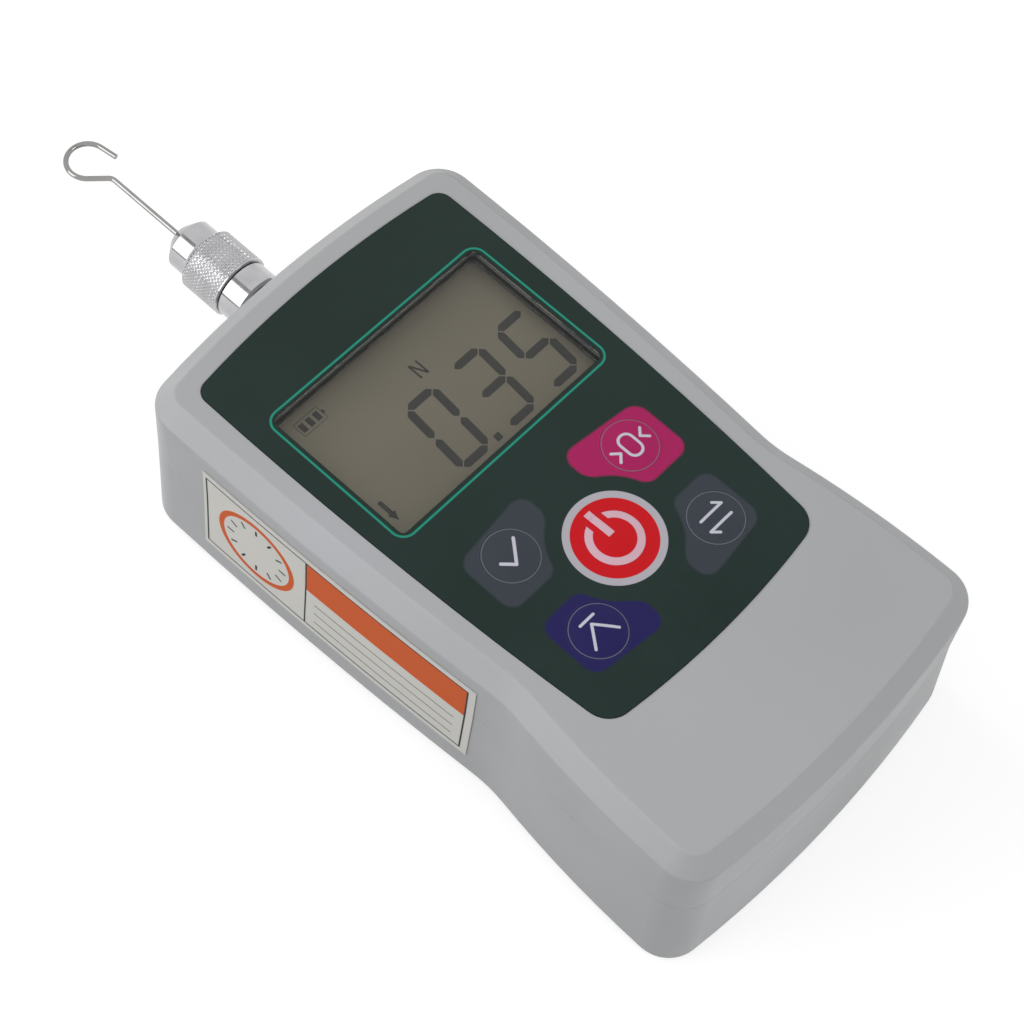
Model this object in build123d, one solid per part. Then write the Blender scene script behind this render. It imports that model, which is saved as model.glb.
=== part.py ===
from build123d import *
import os

# Digital force gauge with a hook chuck, lying on its flat back.
# +Z points out of the display face, +Y towards the hook, +X to the right of the display.
# The origin is the centre of the four stand threads in the back. Millimetres throughout.

# --- moulded housing, seen from above ---
body_length = 123.6
base_end_half_width = 35.2
sensor_end_inset = 0.2
waist_inset = 2.9
waist_from_base = 43.3
waist_blend = 30.0
end_crown = 2.85
upper_side_crown = 0.9
lower_side_crown = 1.0
corner_radius = 6.5
flare_at_sensor_end = 0.3
flare_at_base_end = 0.8
end_flare = 1.0

# --- moulded housing, in height, with the face and the seam measured from the shaft axis ---
axis_height = 15.0
face_rise = 21.0
seam_rise = 6.0
wall = 2.5
face_bevel = 3.2
bevel_softening = 0.7
back_rounding = 1.8
seam_chamfer = 0.15
cavity_bevel = 1.4
floor_bevel = 0.9
lip_height = 1.5
lip_thickness = 1.15
rib = 1.2
rib_root = 0.2
overrun = 1.0

# --- clearances ---
seat_gap = 0.1
running_gap = 0.06
thread_gap = 0.05
stop_gap = 0.05
key_gap = 0.15
loose_gap = 0.3

# --- membrane overlay and window, with margins from the edge of the housing ---
overlay_thickness = 0.5
overlay_recess = 0.35
overlay_top_margin = 6.4
overlay_base_margin = 27.3
overlay_sensor_side_margin = 6.65
overlay_waist_side_margin = 7.4
overlay_side_crown = 1.2
overlay_top_crown = 2.1
overlay_base_crown = 1.9
overlay_top_radius = 2.6
overlay_base_radius = 4.6
window_width = 46.8
window_height = 28.9
window_drop = 28.9
window_radius = 0.8
window_flange = 1.1
window_flange_thickness = 1.0

# --- keys, as (name, x, distance below the top of the overlay) ---
key_drops = (
    ("power", -0.3, 67.3),
    ("zero", 14.0, 57.9),
    ("set", -14.2, 57.9),
    ("unit", 13.8, 76.3),
    ("peak", -14.2, 76.3),
)
key_radius = 4.9
key_crown = 0.3
key_travel = 0.4
key_pocket = 0.7
plunger_radius = 2.0
collar_radius = 3.6
collar_length = 1.2

# --- display stack and main board ---
display_depth = 3.65
lcd_border_x = 3.1
lcd_border_y = 2.55
lcd_plate = 1.1
lcd_ledge = 1.5
lcd_corner = 0.3
holder_wall = 1.5
holder_brow_inset = 0.4
holder_corner = 1.0
frame_rib_height = 2.5
strip_height = 3.8
strip_width = 2.0
strip_inset = 0.6
board_thickness = 1.6
board_side_gap = 2.3
board_top_margin = 15.6
board_end_drop = 87.4
board_corner = 2.0
board_screw_inset = 2.5
board_screw_gap = 4.4
board_screw_end_gap = 3.4
switch_size = 6.0
switch_corner = 0.4
switch_body_height = 3.5
switch_stem_radius = 1.7
switch_stem_height = 1.5
chip_layout = ((0.0, 7.5, 12.0), (-14.0, -8.5, 8.0), (12.0, -10.5, 6.0))
chip_height = 1.5

# --- fasteners ---
case_screw_side_margin = 7.5
case_screw_end_margin = 10.3
case_boss_wall = 1.7
screw_radius = 1.5
screw_play = 0.2
screw_head_rim = 1.25
screw_head_height = 2.0
screw_boss_wall = 1.9
insert_wall = 0.8
insert_length = 5.0
case_screw_recess = 3.6
case_screw_reach = 5.4
small_screw_radius = 1.0
small_screw_head_rim = 0.9
small_screw_head_height = 1.3
small_screw_length = 5.0
small_screw_post_wall = 1.2
socket_screw_length = 4.0

# --- stand threads in the back ---
stand_spacing_x = 44.0
stand_spacing_y = 40.0
stand_thread_radius = 1.65
stand_insert_wall = 1.15
stand_insert_length = 7.0
stand_boss_wall = 1.6
stand_boss_roof = 1.8

# --- load cell and its carrier ---
cell_setback = 15.8
cell_depth = 10.0
cell_height = 12.0
cell_free_x = -8.0
cell_fixed_x = 28.0
flexure_radius = 3.4
flexure_places = (7.6, 14.4)
flexure_slot = 2.2
shaft_hole_gap = 0.08
cell_screw_inset = 5.0
cell_screw_gap = 0.25
cell_screw_length = 12.0
carrier_plate = 6.0
carrier_base = 3.0
carrier_gap = 1.0
carrier_reach = 13.0
carrier_overhang = 1.5
carrier_screw_setback = 4.5
carrier_screw_places_x = (18.4, 26.1)

# --- force shaft, with stations along its axis from the sensor end of the housing outwards ---
shaft_radius = 3.0
shaft_travel = 0.5
shaft_stud_radius = 2.0
shaft_collar_rim = 1.2
shaft_collar_length = 2.2
shaft_tip = 13.2
shaft_tip_chamfer = 0.6
shaft_nut_flat = 7.0
shaft_nut_length = 3.2
shaft_nut_show = 1.0
bushing_wall = 1.6
bushing_flange_rim = 2.0
bushing_flange = 1.6
bushing_proud = 0.8
bushing_seat_gap = 0.15

# --- hook chuck, with the same stations ---
hub_back = 7.5
hub_shoulder = 10.85
hub_radius = 5.2
hub_neck_radius = 4.0
hub_neck_end = 17.8
hub_chamfer = 0.6
stud_bore_end = 13.4
tail_bore_radius = 2.4
tail_bore_start = 14.1
nut_back = 11.25
nut_radius = 6.0
nut_chamfer = 0.3
knurl_end = 19.2
nose_shoulder = 20.0
nose_radius = 4.85
nose_cone = 23.7
nose_tip = 25.7
nose_tip_radius = 2.5
collet_tail = 14.4
collet_head = 18.3
collet_head_radius = 3.3
collet_cone = 19.3
collet_tip = 25.5
collet_tip_radius = 1.35
collet_slot = 0.5
collet_slot_solid = 2.6
cone_gap = 0.1

# --- wire hook, its centre line in the plane of the shaft axis ---
wire_radius = 0.5
wire_start = 14.9
hook_neck_radius = 1.6
hook_loop_radius = 3.8
hook_loop_x = -0.6
hook_loop_station = 48.9
hook_entry_angle = 227.0
hook_exit_angle = 8.0
hook_tip_length = 3.4

# --- battery, with its distance from the base end ---
battery_width = 30.0
battery_length = 50.0
battery_height = 10.0
battery_from_base = 34.8
battery_rounding = 3.0
battery_edge = 1.0
pad_thickness = 2.0
pad_inset = 3.0
cradle_height = 7.0
cradle_opening = 15.0

# --- charging and data sockets, with their distances from the base end ---
socket_gap = 0.05
socket_hole_start = 1.5
socket_board_length = 20.0
socket_board_width = 13.5
socket_board_overhang = 0.7
socket_board_from_base = 25.3
socket_board_corner = 0.5
socket_post_height = 3.2
socket_post_x = 11.8
socket_post_spread = 7.7
jack_from_base = 20.8
jack_body = 8.0
jack_body_length = 9.4
jack_nose_radius = 3.0
jack_nose_length = 2.9
jack_bore_radius = 1.8
jack_bore_depth = 12.0
port_from_base = 30.2
port_width = 7.7
port_height = 4.0
port_corner = 0.8
port_wall = 0.5
port_length = 8.5
port_depth = 7.0
port_hole_margin = 0.5
port_tongue_side = 1.5
port_tongue_height = 1.0

# --- side label ---
label_margin = 6.4
label_setback = 16.9
label_length = 58.0
label_thickness = 0.15
label_glue = 0.05

half_length = body_length / 2
sensor_end_half_width = base_end_half_width - sensor_end_inset
waist_half_width = base_end_half_width - waist_inset
body_depth = axis_height + face_rise
split_height = axis_height + seam_rise
waist_y = waist_from_base - half_length
face_height = body_depth - overlay_recess
lens_seat_height = face_height - window_flange_thickness
ceiling_height = face_height - wall
into_ceiling = ceiling_height + wall / 2
into_floor = wall / 2
overlay_top_y = half_length - overlay_top_margin
overlay_base_y = overlay_base_margin - half_length
window_y = overlay_top_y - window_drop
key_places = {name: (x, overlay_top_y - drop) for name, x, drop in key_drops}
lcd_width = window_width + 2 * lcd_border_x
lcd_height = window_height + 2 * lcd_border_y
lcd_top_height = face_height - display_depth
lcd_bottom_height = lcd_top_height - 2 * lcd_plate
holder_width = lcd_width + 2 * holder_wall
holder_height = lcd_height + 2 * holder_wall
board_top_height = lcd_bottom_height - strip_height
board_bottom_height = board_top_height - board_thickness
board_half_width = waist_half_width - wall - board_side_gap
board_screw_x = board_half_width - board_screw_inset
board_top_y = half_length - board_top_margin
board_base_y = overlay_top_y - board_end_drop
board_screw_places = [
    (side * board_screw_x, y) for side in (-1, 1)
    for y in (window_y - holder_height / 2 - board_screw_gap, board_base_y + board_screw_end_gap)
]
switch_top_height = board_top_height + switch_body_height + switch_stem_height
collar_bottom_height = ceiling_height - collar_length
screw_clear_radius = screw_radius + screw_play
screw_head_radius = screw_radius + screw_head_rim
screw_boss_radius = screw_radius + screw_boss_wall
insert_radius = screw_radius + insert_wall
case_boss_radius = insert_radius + case_boss_wall
small_head_radius = small_screw_radius + small_screw_head_rim
small_post_radius = small_screw_radius + small_screw_post_wall
case_screw_y = half_length - case_screw_end_margin
case_screw_places = [
    (side * (half_width - case_screw_side_margin), y) for side in (-1, 1)
    for half_width, y in ((sensor_end_half_width, case_screw_y), (base_end_half_width, -case_screw_y))
]
case_screw_length = split_height + case_screw_reach - case_screw_recess
insert_bottom = split_height + 2 * seat_gap
insert_pocket_height = split_height + 2 * insert_length
stand_places = [(x, y) for x in (-stand_spacing_x / 2, stand_spacing_x / 2)
                for y in (-stand_spacing_y / 2, stand_spacing_y / 2)]
stand_insert_radius = stand_thread_radius + stand_insert_wall
stand_boss_radius = stand_insert_radius + stand_boss_wall
stand_pocket = stand_insert_length + 2 * seat_gap
cell_front_y = half_length - cell_setback
cell_back_y = cell_front_y - cell_depth
cell_bottom_height = axis_height - cell_height / 2
cell_top_height = axis_height + cell_height / 2
cell_screw_x = cell_fixed_x - cell_screw_inset
cell_screw_rise = screw_head_radius + cell_screw_gap
carrier_back_y = cell_back_y - carrier_plate
carrier_base_top = cell_bottom_height - carrier_gap
carrier_base_height = carrier_base_top - carrier_base
carrier_screw_places = [(x, cell_front_y - carrier_screw_setback) for x in carrier_screw_places_x]
flex_play = shaft_travel + stop_gap
bushing_radius = shaft_radius + bushing_wall
battery_y = battery_from_base - half_length
socket_face_x = (waist_half_width + base_end_half_width) / 2 - wall - socket_gap
socket_board_height = wall + socket_post_height
socket_top_height = socket_board_height + board_thickness
socket_board_y = socket_board_from_base - half_length
socket_post_places = [
    (socket_face_x - socket_post_x, socket_board_y + side * socket_post_spread) for side in (-1, 1)
]
jack_y = jack_from_base - half_length
jack_height = socket_top_height + jack_body / 2
jack_nose_x = socket_face_x + jack_nose_length
port_y = port_from_base - half_length
port_centre_height = socket_top_height + port_height / 2


def arc(start, end, crown):
    """Arc that bulges by crown to the right of the way from start to end."""
    a = Vector(*start)
    b = Vector(*end)
    side = (b - a).normalized().cross(Vector(0, 0, 1))
    return ThreePointArc(a, (a + b) / 2 + side * crown, b)


def grown(face, growth):
    """Outline of arcs moved outwards by growth, each side rebuilt as a plain arc."""
    sides = offset(face, amount=growth).edges()
    return make_face([ThreePointArc(side @ 0, side @ 0.5, side @ 1) for side in sides])


def body_outline(growth=0.0, flare=0.0):
    """Outline of the housing; flare is the share of the spread that the back edge has."""
    end_y = half_length - end_crown
    base_y = -end_y - flare * end_flare
    top = sensor_end_half_width + flare * flare_at_sensor_end
    base = base_end_half_width + flare * flare_at_base_end
    waist_x = waist_half_width + flare * (flare_at_sensor_end + flare_at_base_end) / 2
    edges = [
        arc((top, end_y), (-top, end_y), end_crown),
        arc((-base, base_y), (base, base_y), end_crown),
    ]
    for hand in (1, -1):
        waist = (hand * waist_x, waist_y)
        edges.append(arc(waist, (hand * top, end_y), hand * upper_side_crown))
        edges.append(arc((hand * base, base_y), waist, hand * lower_side_crown))
    face = make_face(edges)
    face = fillet([v for v in face.vertices() if abs(v.Y) > half_length / 2], corner_radius)
    face = fillet([v for v in face.vertices() if abs(v.Y) < half_length / 2], waist_blend)
    return grown(face, growth) if growth else face


def rear_block(growth=0.0, seam=0.0):
    """Rear half of the housing as a solid, its walls spreading from the seam to the floor."""
    back = body_outline(growth, 1.0)
    side = Pos(0, 0, split_height - seam_chamfer) * body_outline(growth)
    rim = Pos(0, 0, split_height) * body_outline(growth - seam)
    return slab(back, 0, wall) + loft([Pos(0, 0, wall) * back, side, rim], ruled=True)


def overlay_outline(growth=0.0):
    top = sensor_end_half_width - overlay_sensor_side_margin
    base = waist_half_width - overlay_waist_side_margin
    top_y = overlay_top_y - overlay_top_crown
    base_y = overlay_base_y + overlay_base_crown
    edges = [
        arc((top, top_y), (-top, top_y), overlay_top_crown),
        arc((-base, base_y), (base, base_y), overlay_base_crown),
        arc((base, base_y), (top, top_y), overlay_side_crown),
        arc((-top, top_y), (-base, base_y), overlay_side_crown),
    ]
    face = make_face(edges)
    face = fillet([v for v in face.vertices() if v.Y > window_y], overlay_top_radius)
    face = fillet([v for v in face.vertices() if v.Y < window_y], overlay_base_radius)
    return grown(face, growth) if growth else face


def slab(face, bottom, top):
    return Pos(0, 0, bottom) * extrude(face, top - bottom)


def panel(x, y, width, height, radius, bottom, top):
    return slab(Pos(x, y) * RectangleRounded(width, height, radius), bottom, top)


def block(x_span, y_span, z_span):
    width = x_span[1] - x_span[0]
    depth = y_span[1] - y_span[0]
    centre = Pos((x_span[0] + x_span[1]) / 2, (y_span[0] + y_span[1]) / 2)
    return slab(centre * Rectangle(width, depth), *z_span)


def post(place, radius, bottom, top):
    return slab(Pos(*place) * Circle(radius), bottom, top)


def posts(places, radius, bottom, top):
    return [post(place, radius, bottom, top) for place in places]


def window_panel(growth, bottom, top):
    width = window_width + 2 * growth
    height = window_height + 2 * growth
    return panel(0, window_y, width, height, window_radius + growth, bottom, top)


def turned(*profile):
    """Turned piece on the shaft axis, from (radius, station) points."""
    return Pos(0, half_length, axis_height) * revolve(make_face(Polyline(*profile, close=True)), Axis.Y)


def rod(radius, start, end):
    return turned((0, start), (radius, start), (radius, end), (0, end))


def flat_edges(solid, height):
    """Edges that lie flat at the given height."""
    level = [e for e in solid.edges() if e.bounding_box().size.Z < 1e-3]
    return [e for e in level if abs(e.center().Z - height) < 1e-3]


def pan_screw(radius, length, head_radius, head_height):
    """Plain screw with its head upwards and its seat at the origin."""
    return slab(Circle(head_radius), 0, head_height) + slab(Circle(radius), -length, 0)


def boss_ribs(bottom, top):
    """Two ribs at each housing boss, towards the side wall and towards the end wall."""
    room = slab(body_outline(rib_root - wall), bottom, top)
    ribs = []
    for x, y in case_screw_places:
        hand = 1 if x > 0 else -1
        end = 1 if y > 0 else -1
        reach_x = sorted((x, x + hand * case_screw_side_margin))
        reach_y = sorted((y, y + end * case_screw_end_margin))
        ribs.append(block(reach_x, (y - rib / 2, y + rib / 2), (bottom, top)) & room)
        ribs.append(block((x - rib / 2, x + rib / 2), reach_y, (bottom, top)) & room)
    return ribs


def front_case():
    case = slab(body_outline(), split_height, body_depth)
    case = chamfer(flat_edges(case, body_depth), face_bevel)
    bevel = flat_edges(case, body_depth) + flat_edges(case, body_depth - face_bevel)
    case = fillet(bevel, bevel_softening)
    case = chamfer(flat_edges(case, split_height), seam_chamfer)
    cavity = slab(body_outline(-wall), split_height - overrun, ceiling_height)
    case -= chamfer(flat_edges(cavity, ceiling_height), cavity_bevel)
    lip_top = split_height + lip_height + seat_gap
    case -= slab(body_outline(lip_thickness + seat_gap - wall), split_height - overrun, lip_top)
    case += boss_ribs(lip_top + seat_gap, ceiling_height + rib_root)
    case += holder_frame()
    case += posts(case_screw_places, case_boss_radius, split_height + seat_gap, into_ceiling)
    case += posts(board_screw_places, small_post_radius, board_top_height, into_ceiling)
    case += posts(key_places.values(), collar_radius, collar_bottom_height, into_ceiling)
    case -= slab(overlay_outline(seat_gap), face_height, body_depth + overrun)
    case -= window_panel(window_flange + seat_gap, lens_seat_height, body_depth)
    case -= window_panel(0, split_height, body_depth)
    case -= posts(key_places.values(), key_radius + key_gap, face_height - key_pocket, body_depth)
    case -= posts(key_places.values(), plunger_radius + loose_gap, split_height, body_depth)
    case -= posts(case_screw_places, insert_radius + thread_gap, split_height, insert_pocket_height)
    pilot_span = (board_top_height, board_top_height + small_screw_length)
    case -= posts(board_screw_places, small_screw_radius + thread_gap, *pilot_span)
    return case


def holder_frame():
    """Rib on the ceiling that locates the display holder."""
    width = holder_width + 2 * seat_gap
    height = holder_height + 2 * seat_gap
    spans = (ceiling_height - frame_rib_height, into_ceiling)
    outer = panel(0, window_y, width + 2 * rib, height + 2 * rib, holder_corner + rib, *spans)
    return outer - panel(0, window_y, width, height, holder_corner, *spans)


def rear_case():
    case = rear_block(seam=seam_chamfer)
    case = fillet(flat_edges(case, 0), back_rounding)
    cavity = slab(body_outline(-wall), wall, split_height + overrun)
    case -= chamfer(flat_edges(cavity, wall), floor_bevel)
    lip = slab(body_outline(lip_thickness - wall), split_height - lip_height, split_height + lip_height)
    case += lip - slab(body_outline(-wall), wall, body_depth)
    case += boss_ribs(wall - rib_root, split_height - lip_height)
    case += posts(case_screw_places, case_boss_radius, into_floor, split_height)
    case += posts(stand_places, stand_boss_radius, into_floor, stand_pocket + stand_boss_roof)
    case += posts(carrier_screw_places, screw_boss_radius, into_floor, carrier_base_height)
    case += posts(socket_post_places, small_post_radius, into_floor, socket_board_height)
    case += battery_cradle()
    case -= posts(case_screw_places, screw_clear_radius, 0, split_height)
    case -= posts(case_screw_places, screw_head_radius + loose_gap, 0, case_screw_recess)
    case -= posts(stand_places, stand_insert_radius + thread_gap, 0, stand_pocket)
    case -= posts(carrier_screw_places, screw_radius + thread_gap, wall, carrier_base_height)
    case -= posts(socket_post_places, small_screw_radius + thread_gap, wall, socket_board_height)
    margin = 2 * port_hole_margin
    port_room = RectangleRounded(port_width + margin, port_height + margin, port_corner)
    hole_span = (socket_face_x - socket_hole_start, half_length)
    case -= across(Circle(jack_nose_radius + loose_gap), jack_y, jack_height, *hole_span)
    case -= across(port_room, port_y, port_centre_height, *hole_span)
    return case - rod(bushing_radius + seat_gap, -2 * wall, wall)


def battery_cradle():
    width = battery_width + 2 * loose_gap
    length = battery_length + 2 * loose_gap
    top = wall + cradle_height
    rim = battery_rounding + loose_gap
    outer = panel(0, battery_y, width + 2 * rib, length + 2 * rib, rim + rib, into_floor, top)
    cradle = outer - panel(0, battery_y, width, length, rim, wall, top)
    spread = (-cradle_opening / 2, cradle_opening / 2)
    return cradle - block(spread, (-half_length, battery_y + battery_length), (wall, top))


def across(outline, y, height, start_x, end_x):
    """Bar of the given outline along X, with the outline's width along Y."""
    return Plane((start_x, y, height), (0, 1, 0), (1, 0, 0)) * extrude(outline, end_x - start_x)


def face_overlay():
    sheet = slab(overlay_outline(), face_height, face_height + overlay_thickness)
    sheet -= window_panel(seat_gap, face_height, body_depth + overrun)
    return sheet - posts(key_places.values(), key_radius + key_gap, face_height, body_depth + overrun)


def display_window():
    flange = window_panel(window_flange, lens_seat_height, face_height)
    return flange + window_panel(0, face_height, face_height + overlay_thickness)


def key(place):
    """Domed membrane key with the plunger that reaches its switch."""
    top = overlay_thickness
    bottom = switch_top_height + key_travel + stop_gap - face_height
    crown = TangentArc((0, top + key_crown), (key_radius, top), tangent=(1, 0))
    rim = Polyline((0, top + key_crown), (0, bottom), (plunger_radius, bottom),
                   (plunger_radius, 0), (key_radius, 0), (key_radius, top))
    profile = make_face([*rim.edges(), crown])
    return Pos(*place, face_height) * revolve(Plane.XZ * profile, Axis.Z)


def lcd_holder():
    top = ceiling_height - seat_gap
    frame = panel(0, window_y, holder_width, holder_height, holder_corner, board_top_height, top)
    width = lcd_width + 2 * seat_gap
    height = lcd_height + 2 * seat_gap
    frame -= panel(0, window_y, width, height, lcd_corner, board_top_height, lcd_top_height + stop_gap)
    return frame - window_panel(holder_brow_inset, board_top_height, top)


def lcd_panel():
    middle = lcd_top_height - lcd_plate
    rear = panel(0, window_y, lcd_width, lcd_height, lcd_corner, lcd_bottom_height, middle)
    size = (lcd_width, lcd_height - 2 * lcd_ledge, lcd_corner)
    return rear + panel(0, window_y, *size, middle, lcd_top_height)


def elastomer_strips():
    reach = lcd_height / 2 - strip_inset - strip_width / 2
    length = lcd_width - 4 * strip_inset
    size = (length, strip_width, lcd_corner, board_top_height, lcd_bottom_height)
    return [panel(0, window_y + side * reach, *size) for side in (1, -1)]


def main_board():
    centre_y = (board_top_y + board_base_y) / 2
    size = (2 * board_half_width, board_top_y - board_base_y, board_corner)
    spans = (board_bottom_height, board_top_height)
    board = panel(0, centre_y, *size, *spans)
    return board - posts(board_screw_places, small_screw_radius + seat_gap, *spans)


def key_switches():
    stem_bottom = board_top_height + switch_body_height
    switches = []
    for place in key_places.values():
        body = panel(*place, switch_size, switch_size, switch_corner, board_top_height, stem_bottom)
        switches.append(body + post(place, switch_stem_radius, stem_bottom, switch_top_height))
    return switches


def board_chips():
    """Square chips on the back of the board, behind the display."""
    spans = (board_bottom_height - chip_height, board_bottom_height)
    return [panel(x, window_y + rise, size, size, switch_corner, *spans) for x, rise, size in chip_layout]


def screws_under(places, height, *screw):
    """Screws driven upwards, with their heads seated at the given height."""
    return [Pos(*place, height) * Rot(180, 0, 0) * pan_screw(*screw) for place in places]


def screws_over(places, height, *screw):
    return [Pos(*place, height) * pan_screw(*screw) for place in places]


def inserts(places, outer, bore, bottom, top):
    return [post(place, outer, bottom, top) - post(place, bore, bottom, top) for place in places]


def along(place_x, height, start_y):
    """Frame whose +Z runs along the shaft axis direction."""
    return Plane((place_x, start_y, height), (1, 0, 0), (0, 1, 0))


def load_cell():
    """Bending block with two round flexures that a slot joins."""
    heights = (cell_bottom_height, cell_top_height)
    cell = block((cell_free_x, cell_fixed_x), (cell_back_y, cell_front_y), heights)
    middle_y = (cell_back_y + cell_front_y) / 2
    for x in flexure_places:
        cell -= post((x, middle_y), flexure_radius, *heights)
    cell -= block(flexure_places, (middle_y - flexure_slot / 2, middle_y + flexure_slot / 2), heights)
    cell -= rod(shaft_stud_radius + shaft_hole_gap, -cell_setback - cell_depth, -cell_setback)
    for rise in (cell_screw_rise, -cell_screw_rise):
        tapped = extrude(Circle(screw_radius + thread_gap), cell_depth)
        cell -= along(cell_screw_x, axis_height + rise, cell_back_y) * tapped
    return cell


def cell_carrier():
    x_span = (cell_fixed_x - carrier_reach, cell_fixed_x + carrier_overhang)
    carrier = block(x_span, (carrier_back_y, cell_front_y), (carrier_base_height, carrier_base_top))
    carrier += block(x_span, (carrier_back_y, cell_back_y), (carrier_base_height, cell_top_height))
    carrier -= flat_screws(screw_clear_radius, screw_head_radius + seat_gap)
    for rise in (cell_screw_rise, -cell_screw_rise):
        hole = extrude(Circle(screw_clear_radius), carrier_plate)
        carrier -= along(cell_screw_x, axis_height + rise, carrier_back_y) * hole
    return carrier


def flat_screws(radius, head_radius):
    """Countersunk screws that go down through the base of the carrier."""
    cone = head_radius - radius
    length = carrier_base_top - wall
    outline = Polyline(
        (0, 0), (head_radius, 0), (radius, -cone), (radius, -length), (0, -length), close=True,
    )
    screw = revolve(Plane.XZ * make_face(outline), Axis.Z)
    return [Pos(*place, carrier_base_top) * screw for place in carrier_screw_places]


def cell_screws():
    shape = (screw_radius, cell_screw_length, screw_head_radius, screw_head_height)
    screw = Rot(180, 0, 0) * pan_screw(*shape)
    rises = (cell_screw_rise, -cell_screw_rise)
    return [along(cell_screw_x, axis_height + rise, carrier_back_y) * screw for rise in rises]


def sensor_shaft():
    """Shaft with a collar in front of the load cell and a threaded stud through it."""
    collar = flex_play - cell_setback
    collar_end = collar + shaft_collar_length
    rim = shaft_radius + shaft_collar_rim
    stud_end = -cell_setback - cell_depth - flex_play - shaft_nut_length - shaft_nut_show
    return turned(
        (0, stud_end), (shaft_stud_radius, stud_end), (shaft_stud_radius, collar),
        (rim, collar), (rim, collar_end), (shaft_radius, collar_end),
        (shaft_radius, shaft_tip - shaft_tip_chamfer),
        (shaft_radius - shaft_tip_chamfer, shaft_tip), (0, shaft_tip),
    )


def shaft_nut():
    nut = extrude(RegularPolygon(shaft_nut_flat / 2, 6, major_radius=False), shaft_nut_length)
    nut -= extrude(Circle(shaft_stud_radius + thread_gap), shaft_nut_length)
    return along(0, axis_height, cell_back_y - flex_play - shaft_nut_length) * nut


def shaft_bushing():
    bore = shaft_radius + running_gap
    flange_radius = bushing_radius + bushing_flange_rim
    flange_end = -wall - bushing_seat_gap
    start = flange_end - bushing_flange
    return turned(
        (bore, start), (flange_radius, start), (flange_radius, flange_end),
        (bushing_radius, flange_end), (bushing_radius, bushing_proud), (bore, bushing_proud),
    )


def chuck_hub():
    outer = turned(
        (0, hub_back), (hub_radius - hub_chamfer, hub_back), (hub_radius, hub_back + hub_chamfer),
        (hub_radius, hub_shoulder), (hub_neck_radius, hub_shoulder), (hub_neck_radius, hub_neck_end),
        (0, hub_neck_end),
    )
    outer -= rod(shaft_radius + thread_gap, hub_back, stud_bore_end)
    return outer - rod(tail_bore_radius, tail_bore_start, hub_neck_end)


def collet():
    """Slotted collet whose cone the nut squeezes round the wire."""
    tail_radius = tail_bore_radius - seat_gap
    body = turned(
        (0, collet_tail), (tail_radius, collet_tail), (tail_radius, collet_head),
        (collet_head_radius, collet_head), (collet_head_radius, collet_cone),
        (collet_tip_radius, collet_tip), (0, collet_tip),
    )
    body -= rod(wire_radius + running_gap, collet_tail, collet_tip)
    slot_span = (half_length + collet_tail + collet_slot_solid, half_length + collet_tip)
    for turn in (0, 90):
        slot = block((-collet_slot / 2, collet_slot / 2), slot_span, (-nut_radius, nut_radius))
        body -= Pos(0, 0, axis_height) * Rot(0, turn, 0) * slot
    return body


def chuck_nut():
    """Nut with a plain neck bore, a cone over the collet and a turned nose."""
    neck_bore = hub_neck_radius + running_gap
    cone_bore = collet_head_radius + cone_gap
    tip_bore = collet_tip_radius + cone_gap
    neck_room = collet_head + seat_gap
    return turned(
        (neck_bore, nut_back), (nut_radius - nut_chamfer, nut_back), (nut_radius, nut_back + nut_chamfer),
        (nut_radius, knurl_end), (nose_radius, nose_shoulder), (nose_radius, nose_cone),
        (nose_tip_radius, nose_tip), (tip_bore, nose_tip), (tip_bore, collet_tip),
        (cone_bore, collet_cone), (cone_bore, neck_room), (neck_bore, neck_room),
    )


def hook_point(angle):
    return Vector(hook_loop_x, hook_loop_station) + Vector(hook_loop_radius, 0).rotate(Axis.Z, angle)


def hook():
    """Straight shank that leans over into an open loop and ends in a short straight tip."""
    entry = hook_point(hook_entry_angle)
    leave = hook_point(hook_exit_angle)
    lean = Vector(0, 1).rotate(Axis.Z, hook_entry_angle - 180)
    neck = entry - lean * (entry.X / lean.X)
    shank = FilletPolyline((0, wire_start), neck, entry, radius=hook_neck_radius)
    loop = ThreePointArc(entry, hook_point((hook_entry_angle + hook_exit_angle) / 2), leave)
    tip = Line(leave, leave + Vector(0, -1).rotate(Axis.Z, hook_exit_angle) * hook_tip_length)
    path = Wire([*shank.edges(), loop, tip])
    section = Plane((0, wire_start, 0), (1, 0, 0), (0, 1, 0)) * Circle(wire_radius)
    return Pos(0, half_length, axis_height) * sweep(section, path)


def battery_pack():
    bottom = wall + pad_thickness
    top = bottom + battery_height
    pack = panel(0, battery_y, battery_width, battery_length, battery_rounding, bottom, top)
    return chamfer(flat_edges(pack, top) + flat_edges(pack, bottom), battery_edge)


def battery_pad():
    size = (battery_width - 2 * pad_inset, battery_length - 2 * pad_inset, battery_rounding)
    return panel(0, battery_y, *size, wall, wall + pad_thickness)


def socket_board():
    centre_x = socket_face_x - socket_board_overhang - socket_board_width / 2
    size = (socket_board_width, socket_board_length, socket_board_corner)
    spans = (socket_board_height, socket_top_height)
    board = panel(centre_x, socket_board_y, *size, *spans)
    return board - posts(socket_post_places, small_screw_radius + seat_gap, *spans)


def charge_jack():
    half = jack_body / 2
    spans = ((socket_face_x - jack_body_length, socket_face_x), (jack_y - half, jack_y + half))
    body = block(*spans, (socket_top_height, socket_top_height + jack_body))
    body += across(Circle(jack_nose_radius), jack_y, jack_height, socket_face_x, jack_nose_x)
    bore_span = (jack_nose_x - jack_bore_depth, jack_nose_x)
    return body - across(Circle(jack_bore_radius), jack_y, jack_height, *bore_span)


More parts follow.
